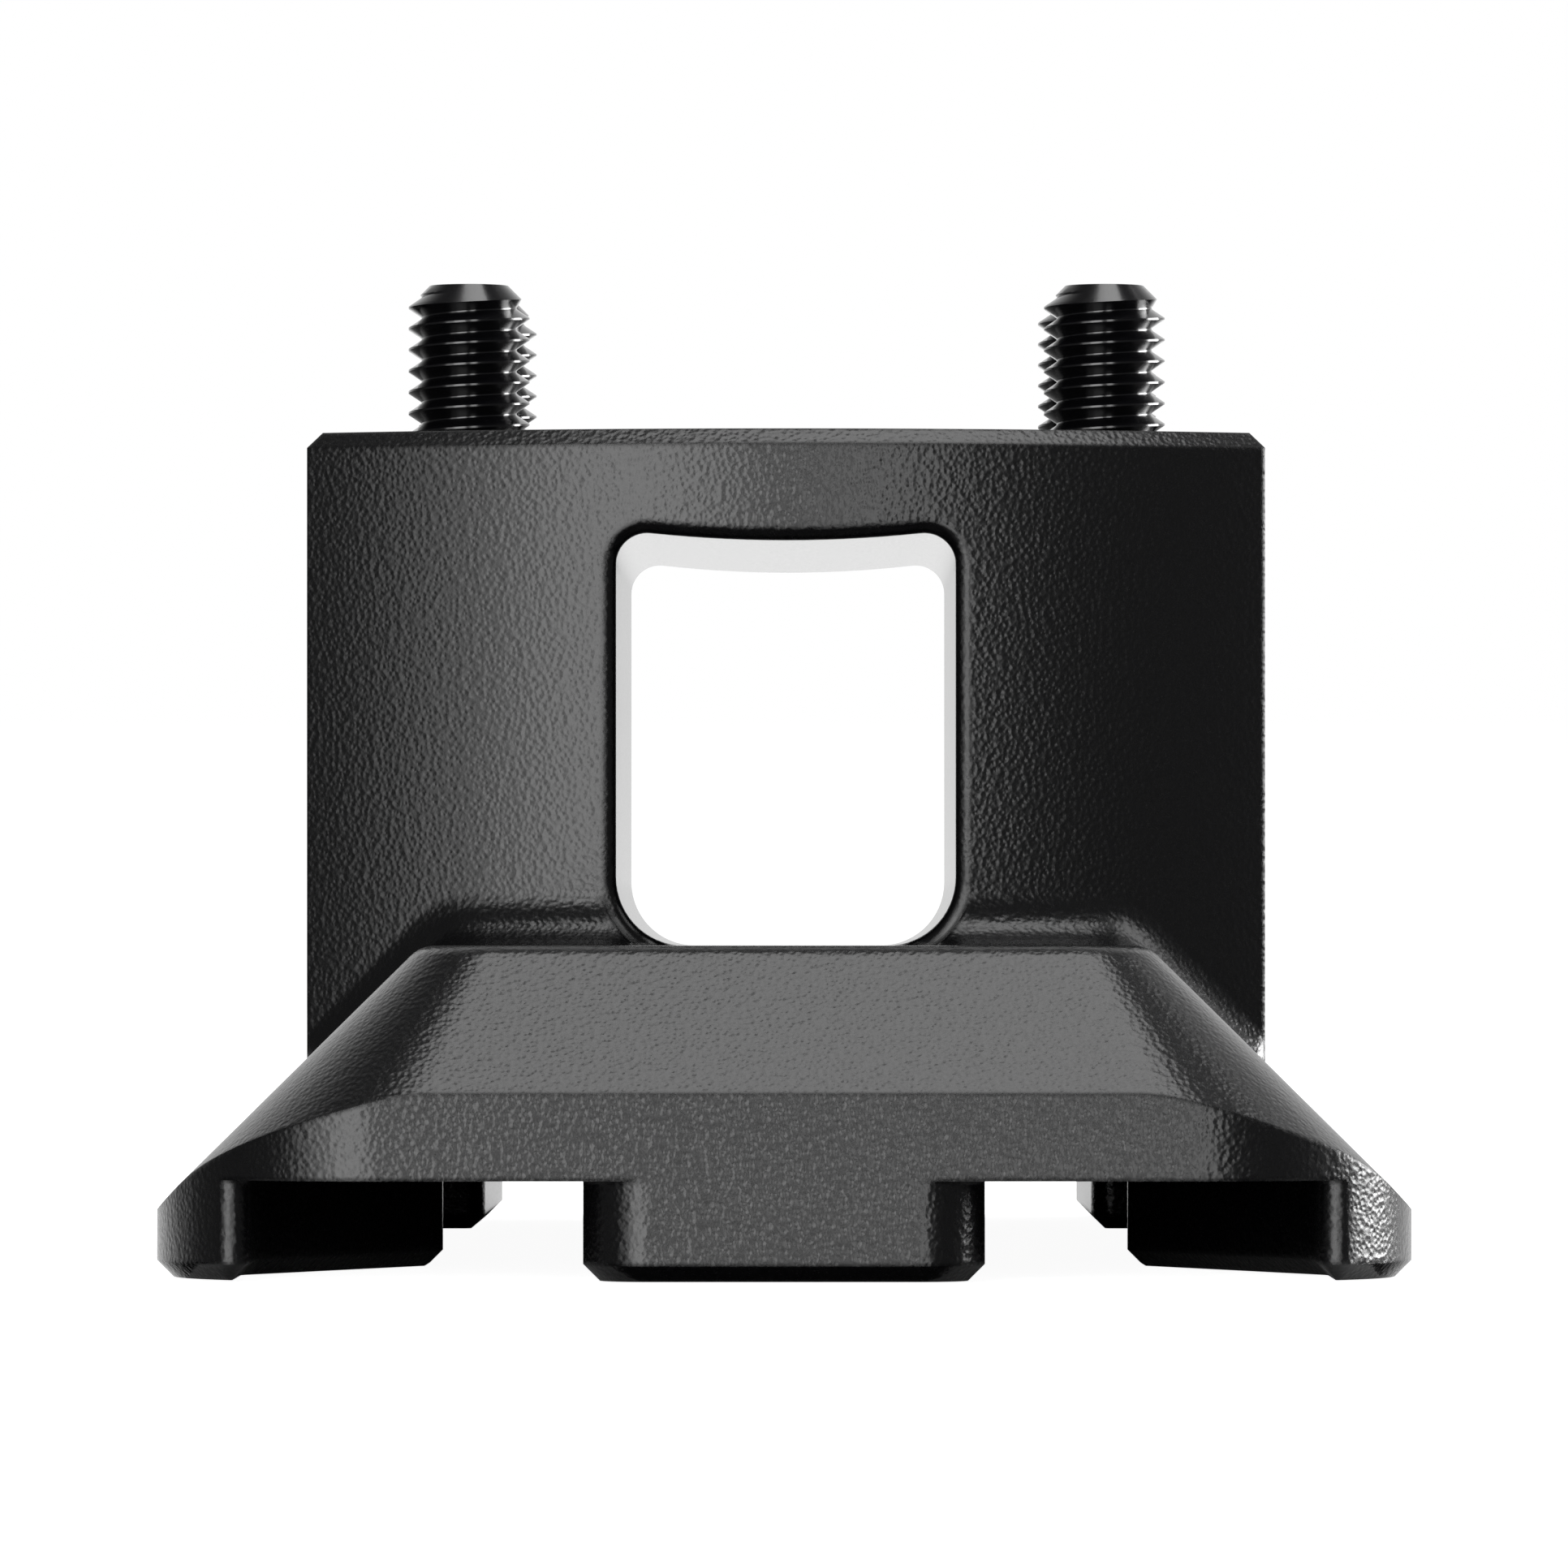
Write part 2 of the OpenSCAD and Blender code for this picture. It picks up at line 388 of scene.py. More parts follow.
@dataclass
class CapScrew:
    """A socket cap screw with a coarse rolled thread, standing head down.

    Sizes are in millimetres and follow the screw's CAD node, angles in degrees.
    """

    node: str
    thread_d: float = 4.0
    pitch: float = 0.7
    length: float = 20.0
    depth_a_pitch: float = 0.6134
    head_d: float = 7.0
    head_h: float = 4.0
    head_chamfer: float = 0.4
    seat_break: float = 0.15
    end_bend_h: float = 0.12
    end_bend_out: float = 0.1
    end_bend_in: float = 0.08
    socket_w: float = 3.0
    socket_h: float = 2.0
    socket_chamfer: float = 0.12
    drill_h: float = 0.35
    tip_chamfer: float = 0.7
    neck: float = 0.5
    knurls: int = 40
    knurl_depth: float = 0.09
    knurl_start: float = 0.35
    points_a_knurl: int = 4
    steps: int = 64
    smooth_below: float = 32.0
    # The share of a pitch above a crest, and the share of the thread's depth.
    profile: Sequence[Pair] = (
        (0.0, 0.0),
        (0.075, 0.0),
        (0.115, 0.10),
        (0.44, 0.90),
        (0.50, 1.0),
        (0.56, 1.0),
        (0.62, 0.90),
        (0.945, 0.10),
        (0.985, 0.0),
    )

    @property
    def root_d(self) -> float:
        """The thread's root diameter, 17/24 of the sharp thread's height deep."""
        return self.thread_d - 2 * self.depth_a_pitch * self.pitch

    def thread_radius(self, share: float) -> float:
        """Gives the thread's radius at a share of the pitch.

        Args:
            share: The share of a pitch above a crest, from 0 to 1.

        Returns:
            The radius in millimetres.
        """
        crest, root = self.thread_d / 2, self.root_d / 2
        points = [*self.profile, (1.0, 0.0)]
        share %= 1.0
        for (a, depth_a), (b, depth_b) in zip(points, points[1:]):
            if a <= share <= b:
                t = (share - a) / (b - a)
                depth = depth_a + (depth_b - depth_a) * t
                return crest + (root - crest) * depth
        return crest

    def limit_radius(self, height: float) -> float:
        """Gives the radius of the tip's cone or of the neck, which limit the thread.

        Args:
            height: The height over the seat.

        Returns:
            The largest radius there.
        """
        from_tip = self.length - height
        tip = self.thread_d / 2 - self.tip_chamfer + from_tip
        neck = self.root_d / 2 + max(0.0, height - self.neck)
        return min(tip, neck, self.thread_d / 2)

    def shank(self, mesh: bmesh.types.BMesh) -> None:
        """Adds the threaded shank, from the seat at height 0 to the flat tip.

        Args:
            mesh: The mesh that takes the shank.
        """
        shares = [share for share, _ in self.profile]
        # Two turns more, because the lead lifts the columns by up to a pitch.
        turns = math.ceil(self.length / self.pitch) + 2
        columns: list[list[bmesh.types.BMVert]] = []
        for step in range(self.steps):
            lead = self.pitch * step / self.steps
            angle = math.tau * step / self.steps
            column = []
            for turn in range(-1, turns):
                for share in shares:
                    raw = (turn + share) * self.pitch + lead
                    height = min(max(raw, 0.0), self.length)
                    thread = self.thread_radius((height - lead) / self.pitch)
                    radius = min(thread, self.limit_radius(height))
                    column.append(mesh.verts.new(around(radius, angle, height)))
            columns.append(column)
        per_turn = len(shares)
        rows = len(columns[0])
        for step in range(self.steps):
            here = columns[step]
            last = step == self.steps - 1
            there = columns[0] if last else columns[step + 1]
            shift = per_turn if last else 0
            for row in range(rows - 1 - shift):
                low, high = there[row + shift], there[row + shift + 1]
                mesh.faces.new((here[row], low, high, here[row + 1]))
        bmesh.ops.remove_doubles(mesh, verts=mesh.verts, dist=SAME_POINT)
        for height in (0.0, self.length):
            rim = [
                edge
                for edge in mesh.edges
                if edge.is_boundary
                and all(abs(v.co.z - height * MM) < SAME_POINT for v in edge.verts)
            ]
            if rim:
                bmesh.ops.contextual_create(mesh, geom=rim)

    def ring(
        self,
        mesh: bmesh.types.BMesh,
        radius_at: Callable[[float], float],
        height: float,
    ) -> list[bmesh.types.BMVert]:
        """Adds a ring of the head's points.

        Args:
            mesh: The mesh that takes the points.
            radius_at: Gives the radius at an angle.
            height: The ring's height over the seat.

        Returns:
            The points, in order.
        """
        count = self.knurls * self.points_a_knurl
        angles = [math.tau * i / count for i in range(count)]
        return [
            mesh.verts.new(around(radius_at(angle), angle, height)) for angle in angles
        ]

    def knurled(self, radius: float, depth: float) -> Callable[[float], float]:
        """Dents a circle with knurls.

        Args:
            radius: The circle's radius.
            depth: Half the knurls' depth.

        Returns:
            A function that gives the radius at an angle.
        """
        return lambda angle: radius - depth * (1 - math.cos(self.knurls * angle))

    def hexagon(self, reach: float) -> Callable[[float], float]:
        """Draws a hexagon round the axis.

        Args:
            reach: The distance from the axis to the flats.

        Returns:
            A function that gives the radius at an angle.
        """
        sixth = math.pi / 3
        return lambda angle: reach / math.cos(
            (angle + sixth / 2) % sixth - sixth / 2
        )

    def head(self, mesh: bmesh.types.BMesh) -> None:
        """Adds the knurled head with its hexagonal socket, below height 0.

        Args:
            mesh: The mesh that takes the head.
        """
        r, c, bend = self.head_d / 2, self.head_chamfer, self.end_bend_h
        bottom, start = -self.head_h, self.knurl_start
        levels = (
            (0.0, r - self.seat_break, 0.0),
            (-self.seat_break, r, 0.0),
            (-start, r, self.knurl_depth),
            (bottom + c + start, r, self.knurl_depth),
            (bottom + c, r, 0.0),
            (bottom + bend, r - c + self.end_bend_out, 0.0),
            (bottom, r - c - self.end_bend_in, 0.0),
        )
        rings = [
            self.ring(mesh, self.knurled(radius, depth), height)
            for height, radius, depth in levels
        ]
        reach, edge = self.socket_w / 2, self.socket_chamfer
        walls = ((0.0, reach + edge), (edge, reach), (self.socket_h, reach))
        for height, wall in walls:
            rings.append(self.ring(mesh, self.hexagon(wall), bottom + height))
        count = len(rings[0])
        for lower, upper in zip(rings, rings[1:]):
            for i in range(count):
                j = (i + 1) % count
                mesh.faces.new((lower[i], upper[i], upper[j], lower[j]))
        floor = rings[-1]
        drill = mesh.verts.new(around(0.0, 0.0, bottom + self.socket_h + self.drill_h))
        for i in range(count):
            mesh.faces.new((floor[i], drill, floor[(i + 1) % count]))
        mesh.faces.new(tuple(reversed(rings[0])))

    def build(self, material: bpy.types.Material) -> bpy.types.Object:
        """Builds the screw where its CAD node stands, and hides that node.

        Args:
            material: The screw's finish.

        Returns:
            The screw.
        """
        low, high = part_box(self.node)
        work = bmesh.new()
        self.shank(work)
        self.head(work)
        bmesh.ops.recalc_face_normals(work, faces=work.faces)
        seat = (
            (low.x + high.x) / 2,
            (low.y + high.y) / 2,
            low.z + self.head_h * MM,
        )
        bmesh.ops.translate(work, verts=work.verts, vec=seat)
        mesh = bpy.data.meshes.new(f"dressed_{self.node}")
        work.to_mesh(mesh)
        work.free()
        mesh.materials.append(material)
        screw = bpy.data.objects.new(f"dressed_{self.node}", mesh)
        bpy.context.scene.collection.objects.link(screw)
        mesh.shade_smooth()
        mesh.set_sharp_from_angle(angle=math.radians(self.smooth_below))
        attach(screw, "root")
        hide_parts(self.node)
        return screw


def skinned(
    name: str, rings: Sequence[Sequence[Vector]], closed: bool = False
) -> bpy.types.Object:
    """Skins a list of rings into one closed solid.

    It stays in millimetres, a unit for each, because a boolean needs the room.

    Args:
        name: The new object's name.
        rings: The rings, each with as many points, in order.
        closed: True if the last ring joins the first.

    Returns:
        The solid, linked to the scene.
    """
    work = bmesh.new()
    rows = [[work.verts.new(point) for point in ring] for ring in rings]
    pairs = list(zip(rows, rows[1:]))
    if closed:
        pairs.append((rows[-1], rows[0]))
    for here, there in pairs:
        for i in range(len(here)):
            j = (i + 1) % len(here)
            work.faces.new((here[i], there[i], there[j], here[j]))
    if not closed:
        work.faces.new(rows[0])
        work.faces.new(tuple(reversed(rows[-1])))
    bmesh.ops.recalc_face_normals(work, faces=work.faces)
    mesh = bpy.data.meshes.new(name)
    work.to_mesh(mesh)
    work.free()
    solid = bpy.data.objects.new(name, mesh)
    bpy.context.scene.collection.objects.link(solid)
    return solid


def combine(target: bpy.types.Object, tool: bpy.types.Object, operation: str) -> None:
    """Joins a solid to another or cuts it out of it, and removes the tool.

    Args:
        target: The solid that changes.
        tool: The solid that is used on it.
        operation: UNION, DIFFERENCE or INTERSECT.
    """
    modifier = target.modifiers.new(tool.name, "BOOLEAN")
    modifier.operation = operation
    modifier.solver = "EXACT"
    modifier.object = tool
    bpy.context.view_layer.update()
    graph = bpy.context.evaluated_depsgraph_get()
    result = bpy.data.meshes.new_from_object(target.evaluated_get(graph))
    target.modifiers.clear()
    target.data = result
    bpy.data.objects.remove(tool)


def arc(
    centre: Pair, radius: float, start: float, end: float, step: float
) -> Outline:
    """Samples an arc in a plane.

    Args:
        centre: The arc's centre.
        radius: Its radius.
        start: The first angle, in degrees.
        end: The last angle, in degrees.
        step: The largest angle between two samples.

    Returns:
        The samples, both ends among them.
    """
    count = max(1, math.ceil(abs(end - start) / step - SAME_POINT))
    angles = [math.radians(start + (end - start) * i / count) for i in range(count + 1)]
    return [
        (centre[0] + radius * math.cos(angle), centre[1] + radius * math.sin(angle))
        for angle in angles
    ]


def lifted(outline: Sequence[Pair], height: float) -> list[Vector]:
    """Puts an outline of X and Y at a height.

    Args:
        outline: The outline.
        height: The height.

    Returns:
        The points, in the same order.
    """
    return [Vector((x, y, height)) for x, y in outline]


def mirrored(right: Outline) -> Outline:
    """Closes the right half of an outline with its mirror image on the left.

    Args:
        right: The right half, counter-clockwise.

    Returns:
        The whole outline.
    """
    return right + [(-x, y) for x, y in reversed(right)]


def widened(outline: Outline, out: float) -> Outline:
    """Moves every side of a counter-clockwise outline outwards, with mitred corners.

    Args:
        outline: The outline.
        out: The distance.

    Returns:
        The wider outline, with as many points.
    """
    moved = []
    count = len(outline)
    for i, here in enumerate(outline):
        point = Vector(here)
        before = (point - Vector(outline[i - 1])).normalized()
        after = (Vector(outline[(i + 1) % count]) - point).normalized()
        first = Vector((before.y, -before.x))
        second = Vector((after.y, -after.x))
        mitre = (first + second) / (1 + first.dot(second))
        moved.append(tuple(point + mitre * out))
    return moved


@dataclass
class Foot:
    """The long foot: flat top, 45 degree slopes, cone corners and a hollow underside.

    Sizes are in millimetres, steps of arcs in degrees. The sizes repeat the
    part's source, where the corners of the crest and of the pocket are sharp.
    """

    width: float = 38.0
    length: float = 87.0
    height: float = 10.0
    corner_r: float = 7.0
    end_h: float = 5.6
    side_h: float = 2.0
    crest_r: float = 1.0
    crest_corner_r: float = 2.0
    recess_h: float = 3.0
    chamfer: float = 0.5
    rail_w: float = 3.0
    channel_w: float = 21.4
    tab_w: float = 12.0
    tab_l: float = 9.0
    tab_r: float = 2.0
    post_l: float = 7.5
    post_r: float = 0.55
    pocket_r: float = 1.2
    side_tab_l: float = 17.6
    side_tab_tip: float = 0.5
    rear_tab_l: float = 23.0
    rear_tab_r: float = 0.8
    # Gaps and overlaps that keep the cuts clean.
    crest_gap: float = 0.01
    flare_gap: float = 0.002
    below: float = 1.0
    past: float = 1.5
    overlap: float = 2.0
    wall_run: float = 1.2
    # How finely arcs are drawn.
    corner_step: float = 4.0
    small_step: float = 15.0
    pocket_step: float = 8.0
    crest_steps: int = 6

    @property
    def slope_top(self) -> float:
        """Height of the slopes over the flat core's edge, with a sharp crest."""
        return self.height + self.crest_r * (math.sqrt(2) - 1)

    @property
    def core(self) -> Pair:
        """Half the width and half the length of the flat core."""
        return (
            self.width / 2 - (self.slope_top - self.side_h),
            self.length / 2 - (self.slope_top - self.end_h),
        )

    def round_rectangle(self, half_x: float, half_y: float, radius: float) -> Outline:
        """Draws a rectangle with round corners, counter-clockwise.

        Args:
            half_x: Half its width.
            half_y: Half its length.
            radius: Its corners' radius.

        Returns:
            The outline.
        """
        outline: Outline = []
        for turn, (sx, sy) in enumerate(((1, 1), (-1, 1), (-1, -1), (1, -1))):
            centre = (sx * (half_x - radius), sy * (half_y - radius))
            start = 90 * turn
            outline += arc(centre, radius, start, start + 90, self.corner_step)
        return outline

    def slopes(self) -> bpy.types.Object:
        """Builds the upper form: every level is the core, grown by the slope's run.

        The corners tighten upwards, from the upright corner's radius to a small
        one at the crest.

        Returns:
            The solid.
        """
        core_x, core_y = self.core
        small = self.crest_corner_r
        spread = (self.corner_r - small) / (self.slope_top - self.side_h)
        bend = self.crest_r / math.sqrt(2)
        levels = [(self.slope_top, 0.0), (bend, self.slope_top - bend)]
        crest = (0.0, self.height - self.crest_r)
        levels += arc(crest, self.crest_r, 45, 90, 45 / self.crest_steps)[1:-1]
        levels.append((self.crest_gap, self.height))
        rings = []
        for out, height in levels:
            radius = small + spread * out
            outline = self.round_rectangle(core_x + out, core_y + out, radius)
            rings.append(lifted(outline, height))
        return skinned("foot", rings)

    def round_slab(self) -> bpy.types.Object:
        """Builds the slab that gives the foot its upright sides and bottom chamfer.

        Returns:
            The solid.
        """
        half_x, half_y, cut = self.width / 2, self.length / 2, self.chamfer
        rings = []
        for d, height in ((cut, 0.0), (0.0, cut), (0.0, self.height + self.overlap)):
            outline = self.round_rectangle(half_x - d, half_y - d, self.corner_r - d)
            rings.append(lifted(outline, height))
        return skinned("round_slab", rings)

    def front_pocket(self) -> Outline:
        """Draws the right half of the pocket between posts and oblique walls.

        Returns:
            The half outline, from the front to behind the wall's tip.
        """
        rail, front = self.width / 2 - self.rail_w, -self.length / 2
        post_y, tip_y = front + self.post_l, front + self.side_tab_l
        corner = Vector((self.width / 2 - self.corner_r, front + self.corner_r))
        reach = self.corner_r - self.post_r
        small_x = rail + self.post_r
        small_y = corner.y - math.sqrt(reach**2 - (small_x - corner.x) ** 2)
        outward = (Vector((small_x, small_y)) - corner).normalized()
        outer = corner + outward * (self.corner_r + self.past)
        start = math.degrees(math.atan2(outward.y, outward.x))
        run = Vector((self.channel_w / 2 - rail, tip_y - post_y))
        turn = math.acos(run.normalized().y)
        pocket = (rail - self.pocket_r, post_y - self.pocket_r * math.tan(turn / 2))
        past_tip = Vector((rail, post_y)) + self.wall_run * run
        return [
            (outer.x, front - self.past),
            (outer.x, outer.y),
            *arc((small_x, small_y), self.post_r, start, -180, self.small_step),
            *arc(pocket, self.pocket_r, 0, math.degrees(turn), self.pocket_step),
            (past_tip.x, past_tip.y),
        ]

    def cavities(self) -> list[tuple[str, Outline]]:
        """Draws the right halves of the recess's four stretches.

        Returns:
            A name and a half outline for each, from front to rear.
        """
        rail, channel = self.width / 2 - self.rail_w, self.channel_w / 2
        bay_front = -self.length / 2 + self.side_tab_l + self.side_tab_tip
        bay_rear = self.length / 2 - self.rear_tab_l
        ball, lap = self.rear_tab_r, self.overlap
        corner = (channel + ball, bay_rear + ball)
        rear_channel = [
            (channel + ball, bay_rear - lap),
            *arc(corner, ball, 270, 180, self.small_step),
            (channel, self.length / 2 + self.past),
        ]
        return [
            ("front_pocket", self.front_pocket()),
            (
                "front_channel",
                [(channel, bay_front - 2 * lap), (channel, bay_front + lap)],
            ),
            ("middle_bay", [(rail, bay_front), (rail, bay_rear)]),
            ("rear_channel", rear_channel),
        ]

    def hollow(self, body: bpy.types.Object) -> None:
        """Cuts the recess into the underside, flared by the chamfer at its mouth.

        Args:
            body: The casting, which changes.
        """
        flare = self.chamfer - self.flare_gap
        levels = (
            (flare, -self.below),
            (flare, 0.0),
            (0.0, self.chamfer),
            (0.0, self.recess_h),
        )
        for name, right in self.cavities():
            outline = mirrored(right)
            rings = [lifted(widened(outline, out), height) for out, height in levels]
            tool = skinned(name, rings)
            if name == "front_pocket":
                combine(tool, self.front_tab(), "DIFFERENCE")
            combine(body, tool, "DIFFERENCE")

    def front_tab(self) -> bpy.types.Object:
        """Builds the tab in the middle of the front, left standing in the recess.

        Returns:
            The solid, taller than the recess at both ends.
        """
        half_x, half_y, cut = self.tab_w / 2, self.tab_l / 2, self.chamfer
        middle = half_y - self.length / 2
        levels = (
            (cut, -self.overlap),
            (cut, 0.0),
            (0.0, cut),
            (0.0, self.recess_h + self.overlap),
        )
        rings = []
        for d, height in levels:
            outline = self.round_rectangle(half_x - d, half_y - d, self.tab_r - d)
            rings.append([Vector((x, y + middle, height)) for x, y in outline])
        return skinned("front_tab", rings)

    def build(self) -> bpy.types.Object:
        """Builds the foot without its recess, which is cut under the block later.

        Returns:
            The solid.
        """
        foot = self.slopes()
        combine(foot, self.round_slab(), "INTERSECT")
        return foot


@dataclass
class Block:
    """The block on the foot: bulged front and rear, with a window through it.

    Sizes are in millimetres, steps of arcs in degrees. The sizes repeat the
    part's source, which leaves out the fillet and the window's rounded rim.
    """

    foot: Foot
    width: float = 31.0
    depth: float = 33.0
    height: float = 26.6
    face_r: float = 36.0
    chamfer: float = 0.5
    junction_r: float = 1.9
    window_w: float = 10.9
    ceiling_z: float = 23.0
    ceiling_r: float = 40.0
    window_top_r: float = 1.0
    window_bottom_r: float = 2.2
    rim_r: float = EdgeForm.WINDOW_RIM.value
    # Gaps and overlaps that keep the cuts and joins clean.
    rooted: float = 1.0
    rim_gap: float = 0.01
    sunk: float = 0.03
    fillet_core: float = 1.3
    # How finely arcs are drawn.
    rim_steps: int = 7
    fillet_steps: int = 10
    face_steps: int = 40
    walk_step: float = 1.5
    turn_step: float = 9.0
    low_step: float = 6.0
    top_step: float = 8.0
    ceiling_step: float = 1.0

    @property
    def face_axis_y(self) -> float:
        """How far a bulged face's axis lies behind the middle plane."""
        return self.face_r - self.depth / 2

    @property
    def window_corner_z(self) -> float:
        """Height of the middle of the window's upper corners."""
        corner_x = self.window_w / 2 - self.window_top_r
        reach = self.ceiling_r + self.window_top_r
        return self.ceiling_z + self.ceiling_r - math.sqrt(reach**2 - corner_x**2)

    def plan(self, inset: float) -> Outline:
        """Draws the block from above, counter-clockwise.

        Args:
            inset: How far every wall is moved in.

        Returns:
            The outline.
        """
        radius = self.face_r - inset
        half = math.degrees(math.asin((self.width / 2 - inset) / radius))
        step = 2 * half / self.face_steps
        front = arc((0, self.face_axis_y), radius, -90 - half, -90 + half, step)
        return front + [(-x, -y) for x, y in front]

    def form(self) -> bpy.types.Object:
        """Builds the plain block, from inside the foot up to its chamfered top.

        Returns:
            The solid.
        """
        levels = (
            (0.0, self.foot.recess_h + self.rooted),
            (0.0, self.height - self.chamfer),
            (self.chamfer, self.height),
        )
        rings = [lifted(self.plan(inset), height) for inset, height in levels]
        return skinned("block", rings)

    def way_round(self, out: float) -> list[tuple[Vector, Vector]]:
        """Walks round the block at a distance from its wall, seen from above.

        Args:
            out: The distance from the wall.

        Returns:
            A point and the wall's outward direction at each stop.
        """
        half = math.degrees(math.asin(self.width / 2 / self.face_r))
        side_x, step = self.width / 2, self.walk_step
        side_y = self.face_r * math.cos(math.radians(half)) - self.face_axis_y
        first, last = 270 - half + step, 270 + half - step
        turns = (
            ((-side_x, -side_y), 0.0, 180, 270 - half, self.turn_step),
            ((0, self.face_axis_y), self.face_r, first, last, step),
            ((side_x, -side_y), 0.0, 270 + half, 360, self.turn_step),
        )
        stops: list[tuple[Vector, Vector]] = []
        for centre, radius, start, end, turn_step in turns:
            for x, y in arc((0, 0), 1.0, start, end, turn_step):
                way = Vector((x, y, 0))
                stops.append((Vector((*centre, 0)) + way * (radius + out), way))
        return stops + [(-point, -way) for point, way in stops]

    def rolled_ball(self, x: float) -> tuple[float, Vector]:
        """Rests the fillet's ball on the foot, at a distance x from its middle.

        Args:
            x: The ball's place across the foot.

        Returns:
            The height of the ball's middle, and the direction up from the foot.
        """
        crest, core_x = self.foot.crest_r, self.foot.core[0]
        reach, slope = crest + self.junction_r, math.sin(math.pi / 4)
        angle = math.asin(max(0.0, min(slope, (abs(x) - core_x) / reach)))
        past_bend = max(0.0, abs(x) - core_x - reach * slope)
        height = self.foot.height - crest + reach * math.cos(angle) - past_bend
        return height, Vector((math.copysign(math.sin(angle), x), 0, math.cos(angle)))

    def junction_fillet(self) -> bpy.types.Object:
        """Builds the fillet round the block, as a ball rolled round it leaves it.

        Returns:
            The solid, sunk a little into block and foot.
        """
        rings = []
        r, steps = self.junction_r, self.fillet_steps
        sunk = r + self.sunk
        for point, wall in self.way_round(r):
            height, up = self.rolled_ball(point.x)
            ball = Vector((point.x, point.y, height))
            hollow = [ball - r * up.slerp(wall, i / steps) for i in range(1, steps)]
            inside = ball - self.fillet_core * r * (up + wall) / (1 + up.dot(wall))
            rings.append([ball - sunk * up, *hollow, ball - sunk * wall, inside])
        return skinned("junction_fillet", rings, closed=True)

    def window_outline(self) -> Outline:
        """Draws the window in X and Z, counter-clockwise as the front shows it.

        Returns:
            The outline.
        """
        half, low, top = self.window_w / 2, self.window_bottom_r, self.window_top_r
        floor, axis_z = self.foot.height, self.ceiling_z + self.ceiling_r
        corner = (half - top, self.window_corner_z)
        sag = math.degrees(math.asin(corner[0] / (self.ceiling_r + top)))
        right = arc((half - low, floor + low), low, -90, 0, self.low_step)
        right += arc(corner, top, 0, 90 + sag, self.top_step)
        ceiling = arc((0, axis_z), self.ceiling_r, sag - 90, -90, self.ceiling_step)
        right += ceiling[1:-1]
        return right + [(0.0, self.ceiling_z)] + [(-x, z) for x, z in reversed(right)]

    def window(self) -> bpy.types.Object:
        """Builds the window as a solid that flares to its rounded rims.

        Each ring of the flare follows the bulged face, so the rim keeps its
        radius all the way round.

        Returns:
            The solid.
        """
        outline = self.window_outline()
        r = self.rim_r
        flare = [(r, -self.rim_gap)]
        for i in range(1, self.rim_steps + 1):
            angle = math.pi / 2 * i / self.rim_steps
            flare.append((r * (1 - math.sin(angle)), r * (1 - math.cos(angle))))
        front = [[Vector((x, -self.depth, z)) for x, z in widened(outline, r)]]
        for out, deep in flare:
            ring = []
            for x, z in widened(outline, out):
                face_y = math.sqrt(self.face_r**2 - x**2) - self.face_axis_y
                ring.append(Vector((x, deep - face_y, z)))
            front.append(ring)
        rear = [[Vector((p.x, -p.y, p.z)) for p in ring] for ring in reversed(front)]
        return skinned("window", front + rear)

    def build(self) -> bpy.types.Object:
        """Builds the block with its fillet and window.

        Returns:
            The solid.
        """
        block = self.form()
        combine(block, self.junction_fillet(), "UNION")
        combine(block, self.window(), "DIFFERENCE")
        return block


